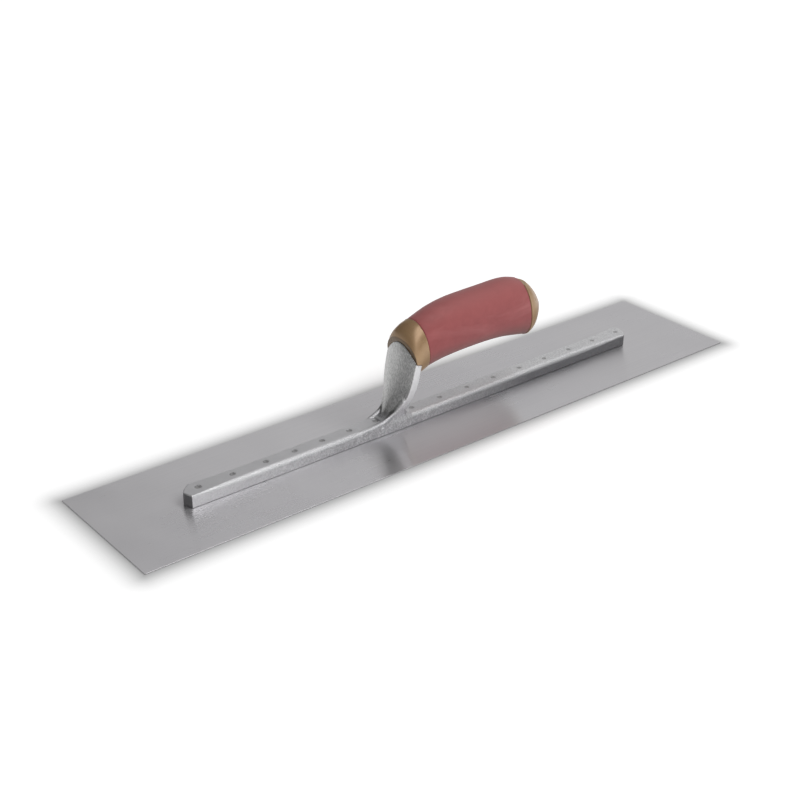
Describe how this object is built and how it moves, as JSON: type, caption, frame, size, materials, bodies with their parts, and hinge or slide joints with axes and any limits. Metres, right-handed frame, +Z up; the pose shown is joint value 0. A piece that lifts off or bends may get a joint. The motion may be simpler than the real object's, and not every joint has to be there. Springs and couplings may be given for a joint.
{
  "type": "finishing trowel",
  "caption": "Long flat steel finishing trowel: thin blade riveted under an alloy mounting bar with a curved shank and a soft-grip handle held by a through bolt.",
  "frame": {"origin": "bottom centre of the blade, on the surface the trowel lies on", "axes": "+X along the blade towards the tail of the handle, +Z up, +Y to the left when looking along +X"},
  "size_m": [0.508, 0.1016, 0.0852],
  "materials": {
    "blade_steel": "ground and polished spring steel",
    "cast_alloy": "cast, belt-polished on the wide faces",
    "rivet_steel": "dull, set flush",
    "tan_plastic": "satin metallic tan",
    "red_rubber": "matt, soft to the hand",
    "zinc_steel": "bright zinc"
  },
  "bodies": {
    "root": {"blade": "blade_steel", "mounting": "cast_alloy", "rivet_01": "rivet_steel", "rivet_02": "rivet_steel", "rivet_03": "rivet_steel", "rivet_04": "rivet_steel", "rivet_05": "rivet_steel", "rivet_06": "rivet_steel", "rivet_07": "rivet_steel", "rivet_08": "rivet_steel", "rivet_09": "rivet_steel", "rivet_10": "rivet_steel", "rivet_11": "rivet_steel", "rivet_12": "rivet_steel", "rivet_13": "rivet_steel", "rivet_14": "rivet_steel", "rivet_15": "rivet_steel", "rivet_16": "rivet_steel", "handle_core": "tan_plastic", "handle_grip": "red_rubber", "tail_washer": "zinc_steel", "handle_bolt": "zinc_steel"}
  },
  "joints": []
}
